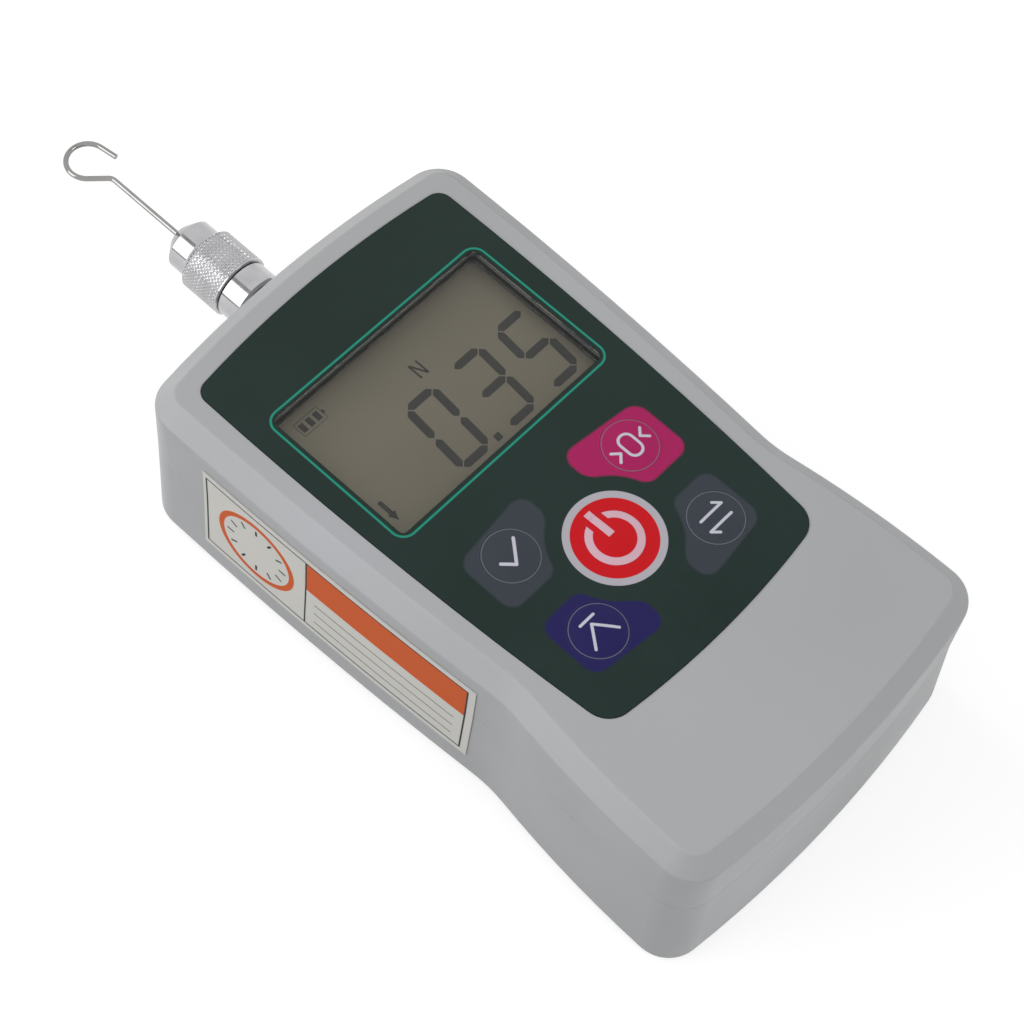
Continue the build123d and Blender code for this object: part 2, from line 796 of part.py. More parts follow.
def data_port():
    back_x = socket_face_x - port_length
    outer = RectangleRounded(port_width, port_height, port_corner)
    inside = (port_width - 2 * port_wall, port_height - 2 * port_wall)
    inner = RectangleRounded(*inside, port_corner - port_wall)
    tongue = Rectangle(port_width - 2 * port_tongue_side, port_tongue_height)
    shell = across(outer, port_y, port_centre_height, back_x, socket_face_x)
    shell -= across(inner, port_y, port_centre_height, socket_face_x - port_depth, socket_face_x)
    return shell + across(tongue, port_y, port_centre_height, back_x, socket_face_x - 2 * port_wall)


def side_label():
    """Thin sticker that follows the left wall across the seam."""
    bottom = label_margin
    top = body_depth - label_margin
    outer = label_glue + label_thickness
    skin = rear_block(outer) + slab(body_outline(outer), split_height, top)
    skin -= rear_block(label_glue)
    skin -= slab(body_outline(label_glue), split_height, top)
    front_y = half_length - label_setback
    side = (-2 * sensor_end_half_width, -waist_half_width / 2)
    return skin & block(side, (front_y - label_length, front_y), (bottom, top))


board_screw = (small_screw_radius, small_screw_length, small_head_radius, small_screw_head_height)
socket_screw = (small_screw_radius, socket_screw_length, small_head_radius, small_screw_head_height)
case_screw = (screw_radius, case_screw_length, screw_head_radius, screw_head_height)
case_insert = (insert_radius, screw_radius + thread_gap, insert_bottom, insert_bottom + insert_length)
stand_insert = (stand_insert_radius, stand_thread_radius, seat_gap, seat_gap + stand_insert_length)

pieces = {
    "front_case": front_case(),
    "rear_case": rear_case(),
    "face_overlay": face_overlay(),
    "display_window": display_window(),
    "lcd_holder": lcd_holder(),
    "lcd_panel": lcd_panel(),
    "elastomer_strips": elastomer_strips(),
    "main_board": main_board(),
    "board_chips": board_chips(),
    "key_switches": key_switches(),
    "board_screws": screws_under(board_screw_places, board_bottom_height, *board_screw),
    "case_screws": screws_under(case_screw_places, case_screw_recess, *case_screw),
    "case_inserts": inserts(case_screw_places, *case_insert),
    "stand_inserts": inserts(stand_places, *stand_insert),
    "load_cell": load_cell(),
    "cell_screws": cell_screws(),
    "cell_carrier": cell_carrier(),
    "carrier_screws": flat_screws(screw_radius, screw_head_radius),
    "shaft_bushing": shaft_bushing(),
    "sensor_shaft": sensor_shaft(),
    "shaft_nut": shaft_nut(),
    "chuck_hub": chuck_hub(),
    "collet": collet(),
    "chuck_nut": chuck_nut(),
    "hook": hook(),
    "battery_pack": battery_pack(),
    "battery_pad": battery_pad(),
    "socket_board": socket_board(),
    "socket_screws": screws_over(socket_post_places, socket_top_height, *socket_screw),
    "charge_jack": charge_jack(),
    "data_port": data_port(),
    "side_label": side_label(),
}
for name, place in key_places.items():
    pieces[f"key_{name}"] = key(place)

os.makedirs("parts", exist_ok=True)
for name, shape in pieces.items():
    if isinstance(shape, list):
        shape = Compound(children=shape)
    export_step(shape, f"parts/{name}.step")
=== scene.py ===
import math
import bmesh
import bpy
from mathutils import Matrix, Vector


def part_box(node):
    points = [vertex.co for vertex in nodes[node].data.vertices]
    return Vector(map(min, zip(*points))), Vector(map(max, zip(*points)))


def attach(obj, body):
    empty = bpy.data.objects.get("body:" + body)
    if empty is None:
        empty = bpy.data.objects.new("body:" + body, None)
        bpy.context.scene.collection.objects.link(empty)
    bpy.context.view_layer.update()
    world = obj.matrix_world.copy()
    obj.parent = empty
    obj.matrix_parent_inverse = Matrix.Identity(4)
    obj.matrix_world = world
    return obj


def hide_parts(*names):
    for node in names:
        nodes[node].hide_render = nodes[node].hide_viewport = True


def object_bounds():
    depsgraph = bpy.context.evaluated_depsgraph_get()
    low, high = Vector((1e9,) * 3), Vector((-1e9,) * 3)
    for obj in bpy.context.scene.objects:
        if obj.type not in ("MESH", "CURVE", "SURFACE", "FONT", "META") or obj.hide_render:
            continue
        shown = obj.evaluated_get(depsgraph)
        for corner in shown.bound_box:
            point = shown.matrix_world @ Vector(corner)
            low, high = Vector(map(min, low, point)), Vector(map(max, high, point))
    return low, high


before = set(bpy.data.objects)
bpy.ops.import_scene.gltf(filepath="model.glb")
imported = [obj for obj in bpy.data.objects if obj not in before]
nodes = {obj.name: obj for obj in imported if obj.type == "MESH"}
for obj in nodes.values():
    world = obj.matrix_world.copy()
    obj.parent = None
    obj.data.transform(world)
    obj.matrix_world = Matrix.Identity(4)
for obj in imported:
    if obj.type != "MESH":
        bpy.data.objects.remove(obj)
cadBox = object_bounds()
mm = 0.001
black = (0, 0, 0, 1)
white = (1, 1, 1, 1)


def srgb(red, green, blue):
    # a colour as it looks on screen, 0 to 255, as the linear colour that nodes want
    def linear(level):
        level = level / 255
        return level / 12.92 if level <= 0.04045 else ((level + 0.055) / 1.055) ** 2.4
    return (linear(red), linear(green), linear(blue), 1.0)


class Value:
    # a socket of a material, so that sums and masks read as plain expressions
    def __init__(self, paint, socket):
        self.paint = paint
        self.socket = socket

    def math(self, operation, *others):
        return self.paint.add("ShaderNodeMath", {"operation": operation}, enumerate((self, *others)))

    def vector(self, operation, *others):
        output = "Value" if operation in ("LENGTH", "DOT_PRODUCT") else "Vector"
        inputs = enumerate((self, *others))
        return self.paint.add("ShaderNodeVectorMath", {"operation": operation}, inputs, output)

    def __add__(self, other):
        return self.math("ADD", other)

    def __sub__(self, other):
        return self.math("SUBTRACT", other)

    def __rsub__(self, other):
        return -self + other

    def __mul__(self, other):
        return self.math("MULTIPLY", other)

    def __truediv__(self, other):
        return self.math("DIVIDE", other)

    def __rtruediv__(self, other):
        return self.math("POWER", -1.0) * other

    def __neg__(self):
        return self * -1.0

    def __abs__(self):
        return self.math("ABSOLUTE")

    def __or__(self, other):        # either of two shapes
        return self.math("MINIMUM", other)

    def __and__(self, other):       # what two shapes share
        return self.math("MAXIMUM", other)

    __radd__ = __add__
    __rmul__ = __mul__

    def minus(self, other):
        return self.vector("SUBTRACT", other)

    def dot(self, other):
        return self.vector("DOT_PRODUCT", other)

    def length(self):
        return self.vector("LENGTH")

    def limited(self, low=0.0, high=1.0):
        return self.paint.add("ShaderNodeClamp", {}, {"Value": self, "Min": low, "Max": high})

    def within(self, start, end, low=0.0, high=1.0):
        spans = {"Value": self, "From Min": start, "From Max": end, "To Min": low, "To Max": high}
        return self.paint.add("ShaderNodeMapRange", {"clamp": True}, spans, "Result")


class Paint:
    # a material that is built by expressions and feeds one Principled shader, or the nodes of a world
    def __init__(self, name, world=None, **settings):
        self.material = world or bpy.data.materials.new(name)
        self.material.use_nodes = True
        self.tree = self.material.node_tree
        self.surface = self.tree.nodes.get("Principled BSDF")
        for socket, value in settings.items():
            self.set(socket, value)

    def set(self, socket, value):
        names = {"color": "Base Color", "rough": "Roughness", "metal": "Metallic", "normal": "Normal",
                 "shine": "Specular IOR Level", "glow": "Emission Color", "glowLevel": "Emission Strength"}
        self.feed(self.surface.inputs[names[socket]], value)
        return self

    def feed(self, socket, value):
        if isinstance(value, Value):
            self.tree.links.new(value.socket, socket)
        else:
            socket.default_value = value

    def add(self, kind, settings=None, inputs=(), output=0):
        node = self.tree.nodes.new(kind)
        for name, value in (settings or {}).items():
            setattr(node, name, value)
        for key, value in (inputs.items() if isinstance(inputs, dict) else inputs):
            self.feed(node.inputs[key], value)
        return Value(self, node.outputs[output])

    def mix(self, amount, first, second):
        return self.add("ShaderNodeMix", {"data_type": "RGBA"}, {0: amount, 6: first, 7: second}, 2)

    def place(self):
        return self.add("ShaderNodeTexCoord", output="Object")

    def noise(self, scale, detail=3.0, where=None, rough=0.5):
        inputs = {"Vector": where or self.place(), "Scale": scale, "Detail": detail, "Roughness": rough}
        return self.add("ShaderNodeTexNoise", {}, inputs)

    def bump(self, height, depth):
        # height runs from 0 to 1, and depth is in metres
        return self.add("ShaderNodeBump", {}, {"Height": height, "Distance": depth})

    def split(self, vector):
        first = self.add("ShaderNodeSeparateXYZ", {}, {0: vector})
        return [Value(self, socket) for socket in first.socket.node.outputs]

    def join(self, x, y, z):
        return self.add("ShaderNodeCombineXYZ", {}, enumerate((x, y, z)))


# camera, floor and light

view = {
    "place": (-0.16710, -0.10801, 0.39104),
    "turn": (28.30556, -4.28344, -47.20600),      # degrees
    "lens": 90.23,
    "sensor": 36.0,
}


def setCamera():
    lens = bpy.data.cameras.new("viewCamera")
    lens.lens = view["lens"]
    lens.sensor_width = view["sensor"]
    lens.clip_start = 0.01
    lens.clip_end = 50
    camera = bpy.data.objects.new("viewCamera", lens)
    camera.location = view["place"]
    camera.rotation_euler = [math.radians(angle) for angle in view["turn"]]
    bpy.context.scene.collection.objects.link(camera)
    bpy.context.scene.camera = camera


studio = {
    "floorColor": srgb(170, 170, 170),
    "floorLift": 0.70,            # what the lens sees on top of the lit floor
    "floorSize": 6.0,
    "floorDrop": 0.0001,
    "skyLevel": 0.444,            # soft light from all round
    "lamps": {
        "lampTop": {"place": (0.05, -0.05, 1.20), "size": (1.0, 1.0), "watts": 0.9},
        "lampLeft": {"place": (-0.75, 0.45, 0.45), "size": (0.60, 0.50), "watts": 3.6},
        "lampEnd": {"place": (-0.10, 0.95, 0.60), "size": (0.70, 0.50), "watts": 4.7},
        "lampBase": {"place": (0.15, -1.00, 0.55), "size": (0.80, 0.50), "watts": 4.7},
    },
    "lampAim": (0, 0.03, 0.02),
    "cardRadius": 0.91,           # cards stand round the chuck or the hook, seen in their metal alone
    "cardSteps": 12,
    "shaftHeight": 0.015,         # metres, like every length here
    "hookMiddle": 0.11,           # along the shaft
    "cards": {
        "cardBright": {"axis": "y", "span": (0.28, 0.78), "arc": (115, 171), "glow": 3.2},
        "cardDark": {"axis": "y", "span": (0.45, 0.53), "arc": (98, 110.5), "glow": 0.22},
        "cardLine": {"axis": "y", "span": (0.43, 0.55), "arc": (172.5, 178), "glow": 0.30},
        "hookDark": {"axis": "x", "span": (0.22, 0.52), "arc": (84, 113), "glow": 0.15},
        "hookBright": {"axis": "x", "span": (0.22, 0.52), "arc": (115, 150), "glow": 3.2},
        "hookShade": {"axis": "x", "span": (0.22, 0.52), "arc": (155, 178), "glow": 0.25},
    },
}


def seenByLens(paint):
    path = paint.add("ShaderNodeLightPath").socket.node
    camera, glossy, through = (Value(paint, path.outputs[f"Is {ray} Ray"])
                               for ray in ("Camera", "Glossy", "Transmission"))
    return camera.math("MAXIMUM", glossy).math("MAXIMUM", through)


def setCard(name, card):
    # a curved card for its mirror image in the steel: round the shaft axis, or round x through the hook
    steps = studio["cardSteps"]
    start, end = (math.radians(angle) for angle in card["arc"])
    verts = []
    for step in range(steps + 1):
        turn = start + (end - start) * step / steps
        out, up = (studio["cardRadius"] * way for way in (math.cos(turn), math.sin(turn)))
        height = up + studio["shaftHeight"]
        far = out + studio["hookMiddle"]
        for place in card["span"]:
            verts.append((out, place, height) if card["axis"] == "y" else (place, far, height))
    mesh = bpy.data.meshes.new(name)
    mesh.from_pydata(verts, [], [(2 * i, 2 * i + 1, 2 * i + 3, 2 * i + 2) for i in range(steps)])
    paint = Paint(name + "Paint", color=black, shine=0.0, glow=white, glowLevel=card["glow"])
    mesh.materials.append(paint.material)
    item = bpy.data.objects.new(name, mesh)
    bpy.context.scene.collection.objects.link(item)
    for ray in ("camera", "diffuse", "transmission", "volume_scatter", "shadow"):
        setattr(item, "visible_" + ray, False)


def setStudio():
    world = bpy.data.worlds.new("studioSky")
    bpy.context.scene.world = world
    sky = Paint("studioSky", world)
    background = sky.tree.nodes["Background"]
    seen = seenByLens(sky)
    sky.feed(background.inputs["Strength"], seen * (1 - studio["skyLevel"]) + studio["skyLevel"])
    sky.feed(background.inputs["Color"], white)

    half = studio["floorSize"] / 2
    mesh = bpy.data.meshes.new("studioFloor")
    corners = [(-half, -half, 0), (half, -half, 0), (half, half, 0), (-half, half, 0)]
    mesh.from_pydata(corners, [], [(0, 1, 2, 3)])
    floor = bpy.data.objects.new("studioFloor", mesh)
    floor.location.z = cadBox[0][2] - studio["floorDrop"]
    bpy.context.scene.collection.objects.link(floor)
    paint = Paint("floorPaint", color=studio["floorColor"], rough=0.9, shine=0.0)
    lift = seenByLens(paint) * studio["floorLift"]
    paint.set("glow", paint.mix(lift, black, white)).set("glowLevel", 1.0)
    mesh.materials.append(paint.material)

    for name, lamp in studio["lamps"].items():
        light = bpy.data.lights.new(name, "AREA")
        light.shape = "RECTANGLE"
        light.size, light.size_y = lamp["size"]
        light.energy = lamp["watts"]
        item = bpy.data.objects.new(name, light)
        item.location = lamp["place"]
        aim = Vector(studio["lampAim"]) - Vector(lamp["place"])
        item.rotation_euler = aim.to_track_quat("-Z", "Y").to_euler()
        item.visible_camera = False
        item.visible_glossy = False
        bpy.context.scene.collection.objects.link(item)

    for name, card in studio["cards"].items():
        setCard(name, card)


bpy.context.scene.view_settings.view_transform = "Standard"
setCamera()
setStudio()
print("studio set")


# how pieces are painted and made

def paintNode(name, paint):
    for slot in nodes[name].material_slots:
        slot.material = paint.material
    if not nodes[name].material_slots:
        nodes[name].data.materials.append(paint.material)


def addPiece(name, mesh, paint, slotName, body, *replaced):
    piece = bpy.data.objects.new(name, mesh)
    bpy.context.scene.collection.objects.link(piece)
    mesh.materials.append(paint.material)
    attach(piece, body)
    if replaced:
        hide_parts(*replaced)
    return piece


def standing(x, y, z, axis=(0, 0, 1)):
    # frame of a turned body, in millimetres, whose own height runs along the axis
    turn = Vector((0, 0, 1)).rotation_difference(Vector(axis)).to_matrix().to_4x4()
    return Matrix.Translation(Vector((x, y, z)) * mm) @ turn


def shadedTones(color, share):
    # a metal's own colour and a darker one, for mixing
    return color, [share * level for level in color[:3]] + [1]


def turnedMesh(name, profile, sides, frames, shift=lambda radius, height, turn: (radius, height)):
    # closed turned bodies from (radius, height) points in millimetres, one in each frame
    sharpAngle = 28               # edges that turn more than this stay crisp
    weld = 1e-7
    work = bmesh.new()
    for place in frames:
        rows = []
        for radius, height in profile:
            row = []
            for step in range(sides):
                turn = 2 * math.pi * step / sides
                reach, rise = shift(radius, height, turn)
                point = Vector((reach * math.cos(turn), reach * math.sin(turn), rise))
                row.append(work.verts.new(place @ (point * mm)))
            rows.append(row)
        for row, after in zip(rows, rows[1:] + rows[:1]):
            for step in range(sides):
                ahead = (step + 1) % sides
                work.faces.new((row[step], after[step], after[ahead], row[ahead]))
    bmesh.ops.remove_doubles(work, verts=work.verts[:], dist=weld)
    bmesh.ops.delete(work, geom=[edge for edge in work.edges if not edge.link_faces], context="EDGES")
    bmesh.ops.recalc_face_normals(work, faces=work.faces[:])
    for item in work.faces:
        item.smooth = True
    mesh = bpy.data.meshes.new(name)
    work.to_mesh(mesh)
    work.free()
    mesh.set_sharp_from_angle(angle=math.radians(sharpAngle))
    return mesh


# flat shapes for print, for painted shade and for painted highlights, each a distance in millimetres that
# is below 0 inside

def disc(p, centre, radius):
    return p.minus((*centre, 0)).length() - radius


def ring(p, centre, radius, width):
    return abs(disc(p, centre, radius)) - width / 2


def bar(p, centre, size, corner=0.0):
    reach = (size[0] / 2 - corner, size[1] / 2 - corner, 0)
    past = p.minus((*centre, 0)).vector("ABSOLUTE").minus(reach)
    x, y, _ = p.paint.split(past)
    return past.vector("MAXIMUM", (0, 0, 0)).length() + (x & y).math("MINIMUM", 0.0) - corner


def outline(shape, width):
    return abs(shape) - width / 2


def stroke(p, start, end, width):
    run = Vector((*end, 0)) - Vector((*start, 0))
    away = p.minus((*start, 0))
    share = away.dot(run / run.length_squared).limited()
    along = p.paint.add("ShaderNodeVectorMath", {"operation": "SCALE"}, {0: run, "Scale": share})
    return away.minus(along).length() - width / 2


def strokes(p, width, *points):
    shape = stroke(p, points[0], points[1], width)
    for start, end in zip(points[1:], points[2:]):
        shape = shape | stroke(p, start, end, width)
    return shape


def side(p, angle, reach):
    # all that lies short of a straight edge, whose outward direction is angle in degrees
    turn = math.radians(angle)
    return p.dot((math.cos(turn), math.sin(turn), 0)) - reach


def roundedBoth(first, second, radius):
    # what two shapes share, with their corner rounded
    paint = first.paint
    past = paint.join(first + radius, second + radius, 0.0).vector("MAXIMUM", (0, 0, 0)).length()
    return past + (first & second).math("MINIMUM", -radius)


def shapeMask(shape, soft=0.05):
    return shape.within(soft, -soft)


def flat(paint, across=(1, 0, 0), up=(0, 1, 0)):
    # the surface as a drawing plane, in millimetres
    place = paint.place()
    return paint.join(place.dot([1000 * v for v in across]), place.dot([1000 * v for v in up]), 0.0)


# housing

housing = {
    "windowSize": (47.0, 29.1),   # the walls of the window opening are painted near black, as painted shade inside the recess
    "windowCentre": (0.0, 26.5),
    "windowCorner": 0.9,
    "windowWallShade": srgb(24, 27, 27),
    "inkAndShadeFoot": (30.0, 30.1),      # the painted shade starts at this height
    "color": srgb(168, 169, 172),
    "warmColor": srgb(163, 164, 165),
    "rough": 0.46,
    "grainScale": 2600.0,         # grains per metre
    "grainDepth": 0.000012,
}


def housingPaint():
    paint = Paint("housingPlastic", shine=0.35)
    tone = paint.noise(14.0, 2.0)
    color = paint.mix(tone.within(0.35, 0.65), housing["color"], housing["warmColor"])
    # painted shade: the walls of the window opening are painted near black, standing in for the shade
    # inside the recess
    wall = bar(flat(paint), housing["windowCentre"], housing["windowSize"], housing["windowCorner"])
    _, _, z = paint.split(paint.place())
    wallShade = shapeMask(wall) * (z / mm).within(*housing["inkAndShadeFoot"])
    paint.set("color", paint.mix(wallShade, color, housing["windowWallShade"]))
    grain = paint.noise(housing["grainScale"], 2.0)
    patch = paint.noise(60.0, 3.0)
    paint.set("rough", patch.within(0.3, 0.7, housing["rough"] - 0.04, housing["rough"] + 0.05))
    return paint.set("normal", paint.bump(grain, housing["grainDepth"]))


plastic = housingPaint()
paintNode("front_case", plastic)
paintNode("rear_case", plastic)
print("housing painted")


# printed face: overlay film and keys share one drawing, with a painted highlight ring on each small key

face = {
    "filmColor": srgb(31, 46, 42),
    "filmDark": srgb(27, 42, 38),
    "frameColor": srgb(34, 136, 115),
    "frameCentre": (0.0, 26.4),
    "frameSize": (48.75, 30.75),
    "frameCorner": 2.4,
    "frameLine": 0.38,
    "inkColor": srgb(190, 190, 202),
    "powerCentre": (-0.25, -11.9),
    "powerRing": (8.43, srgb(172, 168, 176)),
    "powerDisc": (7.18, srgb(193, 18, 27)),
    "powerInk": srgb(205, 170, 182),
    "padCorner": 2.4,
    "padClear": 11.2,             # how far the pads stay from the middle of the power key
    "pads": {                     # across is from inner to outer, up is from near to far
        "set": {"hand": (-1, 1), "across": (4.7, 21.0), "up": (2.5, 16.5), "color": srgb(55, 60, 68)},
        "zero": {"hand": (1, 1), "across": (4.7, 21.0), "up": (2.5, 16.5), "color": srgb(160, 30, 88)},
        "peak": {"hand": (-1, -1), "across": (5.0, 20.1), "up": (2.05, 16.1), "color": srgb(32, 28, 82)},
        "unit": {"hand": (1, -1), "across": (4.8, 19.7), "up": (2.05, 16.1), "color": srgb(55, 60, 68)},
    },
    "padSoft": 0.22,
    "padSlope": 6.5,
    "rimRadii": (4.92, 5.22),
    "rimHeight": 0.05,
    "keyHighlightRing": (4.72, 0.12),      # painted highlight: a light ring on each small key, where the edge of its dome catches light
    "keyHighlightColor": srgb(104, 108, 118),
    # the signs, round their own middles
    "signStroke": 0.48,
    "tickStroke": 0.552,
    "signMiddles": {"zero": (14.0, -2.5), "tick": (-14.2, -2.5),
                    "swap": (13.8, -20.9), "peak": (-14.2, -20.9)},
    "zeroSize": (2.7, 4.4),
    "zeroCorner": 1.3,
    "zeroMark": ((3.5, 1.1), (2.35, 0.0), (3.5, -1.1)),
    "tickLine": ((-2.3, 0.1), (-0.6, -1.7), (2.5, 1.9)),
    "peakLine": ((-2.7, -1.9), (0.0, 1.5), (2.7, -1.9)),
    "peakBar": ((-1.5, 2.5), (1.5, 2.5)),
    "swapArrow": ((-2.4, 1.15), (2.6, 1.15), (1.5, 2.25)),
    "powerArc": (4.2, 1.3),       # radius and width
    "powerGap": (3.5, 4.4),
    "powerBar": (1.32, 5.4),
    "powerBarLift": 3.4,
}


def padShape(p, pad):
    q = p.minus((*face["powerCentre"], 0)).vector("MULTIPLY", (*pad["hand"], 0))
    corner = face["padCorner"]
    (inner, outer), (near, far) = pad["across"], pad["up"]
    shape = roundedBoth(side(q, 0, outer), side(q, 90 - face["padSlope"], far), corner)
    shape = roundedBoth(shape, side(q, 180, -inner), corner * 1.15)
    shape = roundedBoth(shape, side(q, 270, -near), corner)
    return roundedBoth(shape, -disc(q, (0, 0), face["padClear"]), corner * 0.7)


def drawn(p, middle, points, width, hand=1):
    # strokes round a middle, and turned half way round it where hand is -1
    return strokes(p, width, *[(middle[0] + hand * x, middle[1] + hand * y) for x, y in points])


def powerSign(p):
    x, y = face["powerCentre"]
    radius, width = face["powerArc"]
    gap = bar(p, (x, y + radius), face["powerGap"])
    return (ring(p, (x, y), radius, width) & -gap) | bar(p, (x, y + face["powerBarLift"]), face["powerBar"])


def keySigns(p):
    middles, width = face["signMiddles"], face["signStroke"]
    signs = outline(bar(p, middles["zero"], face["zeroSize"], face["zeroCorner"]), width)
    for hand in (-1, 1):
        signs = signs | drawn(p, middles["zero"], face["zeroMark"], width, hand)
        signs = signs | drawn(p, middles["swap"], face["swapArrow"], width, hand)
    for line in (face["peakLine"], face["peakBar"]):
        signs = signs | drawn(p, middles["peak"], line, width)
    return signs | drawn(p, middles["tick"], face["tickLine"], face["tickStroke"])


def facePaint():
    paint = Paint("printedFilm", shine=0.18)
    p = flat(paint)
    cloud = paint.noise(40.0, 2.0)
    color = paint.mix(cloud.within(0.35, 0.65), face["filmColor"], face["filmDark"])
    frameShape = bar(p, face["frameCentre"], face["frameSize"], face["frameCorner"])
    frameLine = outline(frameShape, face["frameLine"])
    color = paint.mix(shapeMask(frameLine), color, face["frameColor"])
    for pad in face["pads"].values():
        color = paint.mix(shapeMask(padShape(p, pad), face["padSoft"]), color, pad["color"])
    for radius, ink in (face["powerRing"], face["powerDisc"]):
        color = paint.mix(shapeMask(disc(p, face["powerCentre"], radius)), color, ink)
    color = paint.mix(shapeMask(powerSign(p)), color, face["powerInk"])
    for x, y, _ in keyMiddles[1:]:              # the power key has no painted highlight ring
        # painted highlight ring on each small key
        color = paint.mix(shapeMask(ring(p, (x, y), *face["keyHighlightRing"])), color, face["keyHighlightColor"])
    paint.set("color", paint.mix(shapeMask(keySigns(p)), color, face["inkColor"]))
    wear = paint.noise(900.0, 4.0)
    paint.set("rough", wear.within(0.3, 0.7, 0.30, 0.40))
    return paint.set("normal", paint.bump(paint.noise(1800.0, 2.0), 0.000004))


def rimMesh():
    # low half-round rims that the film forms round its keys
    inner, outer = face["rimRadii"]
    middle, half = (inner + outer) / 2, (outer - inner) / 2
    steps, sides = 8, 96
    bend = [math.pi * step / steps for step in range(steps + 1)]
    profile = [(middle - half * math.cos(a), filmTop + face["rimHeight"] * math.sin(a)) for a in bend]
    return turnedMesh("key_rims", profile, sides, [standing(x, y, 0) for x, y, _ in keyMiddles])


keyNames = ("key_power", "key_zero", "key_set", "key_unit", "key_peak")
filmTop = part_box("face_overlay")[1][2] / mm
keyMiddles = [(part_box(name)[0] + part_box(name)[1]) / 2 / mm for name in keyNames]
film = facePaint()
for name in ("face_overlay", *keyNames):
    paintNode(name, film)
addPiece("key_rims", rimMesh(), film, "overlay_film", "housing")
print("face printed")


# display: window, glass and segments

display = {
    "glassColor": srgb(161, 150, 132),
    "glassShade": srgb(152, 142, 124),
    "glassSpeckle": srgb(174, 165, 148),
    "inkColor": srgb(62, 60, 58),
    "inkPale": srgb(70, 68, 65),
    "inkLift": 0.00002,
    "inkThick": 0.00001,
    "slant": 0.09,                # sideways lean of the digits, by height
    "digitHeight": 15.2,
    "digitWidth": 7.4,
    "segment": 1.5,
    "segmentGap": 0.16,
    "digitFoot": 14.3,
    "digitMiddles": (-3.25, 7.75, 18.25),
    "digits": ("0", "3", "5"),
    "point": ((1.35, 0.0), (2.6, 1.35)),
    "unitPosts": (1.25, 2.85),    # letter N: middles of its posts
    "unitHeight": (31.3, 34.4),
    "unitPost": 0.36,
    "unitSlope": ((1.1, 34.4), (1.5, 34.4), (3.0, 31.3), (2.6, 31.3)),
    "chargeBars": (-19.65, -18.05, -16.45),
    "chargeBar": (1.0, 1.7),
    "chargeFoot": 37.4,
    "batteryLines": (((-20.1, 36.8), (-14.85, 36.9)), ((-20.1, 39.6), (-14.85, 39.7)),
                     ((-20.1, 36.9), (-20.0, 39.6)), ((-14.95, 36.9), (-14.85, 39.6)),
                     ((-14.85, 37.9), (-14.45, 38.6))),
    "pointer": ((-21.1, 17.4), (-20.3, 15.7), (-19.5, 17.4), (-19.9, 17.4),
                (-19.9, 20.2), (-20.7, 20.2), (-20.7, 17.4)),
}

segmentsOf = {"0": "abcdef", "3": "abcdg", "5": "acdfg"}


def windowPaint():
    # clear plastic: what lies behind it, and more of its surroundings the flatter it is looked at
    paint = Paint("clearWindow")
    tree = paint.tree
    through = paint.add("ShaderNodeBsdfTransparent", {}, {"Color": (0.93, 0.94, 0.93, 1)})
    gloss = paint.add("ShaderNodeBsdfGlossy", {}, {"Roughness": 0.06, "Color": (0.9, 0.9, 0.9, 1)})
    fresnel = paint.add("ShaderNodeFresnel", {}, {"IOR": 1.35})
    mixed = paint.add("ShaderNodeMixShader", {}, {0: fresnel * 0.8, 1: through, 2: gloss})
    tree.links.new(mixed.socket, tree.nodes["Material Output"].inputs["Surface"])
    tree.nodes.remove(paint.surface)
    return paint


def glassPaint():
    paint = Paint("displayGlass", rough=0.42, shine=0.25)
    tone = paint.noise(30.0, 2.0)
    speckle = paint.noise(5000.0, 1.0)
    color = paint.mix(tone.within(0.35, 0.65), display["glassColor"], display["glassShade"])
    color = paint.mix(speckle.within(0.4, 0.8, 0.0, 0.10), color, display["glassSpeckle"])
    return paint.set("color", color)


def inkPaint():
    paint = Paint("displayInk", rough=0.5, shine=0.2)
    tone = paint.noise(2500.0, 1.0)
    return paint.set("color", paint.mix(tone.within(0.3, 0.7), display["inkColor"], display["inkPale"]))


def segmentOutlines(char, middle):
    # each lit bar of a digit as a six-sided outline, in millimetres on the display
    height, width, thick = display["digitHeight"], display["digitWidth"], display["segment"]
    half, gap = thick / 2, display["segmentGap"]
    left, right = -width / 2 + half, width / 2 - half
    levels = {"a": height - half, "g": height / 2, "d": half}
    bars = []
    for name in segmentsOf[char]:
        if name in levels:
            level = levels[name]
            start, end = left + gap, right - gap
            bars.append([(start, level), (start + half, level + half), (end - half, level + half),
                         (end, level), (end - half, level - half), (start + half, level - half)])
        else:
            place = right if name in "bc" else left
            low, high = (levels["g"], levels["a"]) if name in "bf" else (levels["d"], levels["g"])
            low, high = low + gap, high - gap
            bars.append([(place, low), (place + half, low + half), (place + half, high - half),
                         (place, high), (place - half, high - half), (place - half, low + half)])
    return [[(x + middle, y) for x, y in points] for points in bars]


def block(low, high):
    return [low, (high[0], low[1]), high, (low[0], high[1])]


def displayOutlines():
    shapes = []
    for char, middle in zip(display["digits"], display["digitMiddles"]):
        shapes += segmentOutlines(char, middle)
    shapes.append(block(*display["point"]))
    foot, slant = display["digitFoot"], display["slant"]
    shapes = [[(x + slant * y, y + foot) for x, y in points] for points in shapes]
    low, high = display["unitHeight"]
    half = display["unitPost"] / 2
    shapes += [block((x - half, low), (x + half, high)) for x in display["unitPosts"]]
    shapes.append(display["unitSlope"])
    wide, tall = display["chargeBar"]
    foot = display["chargeFoot"]
    shapes += [block((x, foot), (x + wide, foot + tall)) for x in display["chargeBars"]]
    shapes += [block(*corners) for corners in display["batteryLines"]]
    shapes.append(display["pointer"])
    return shapes


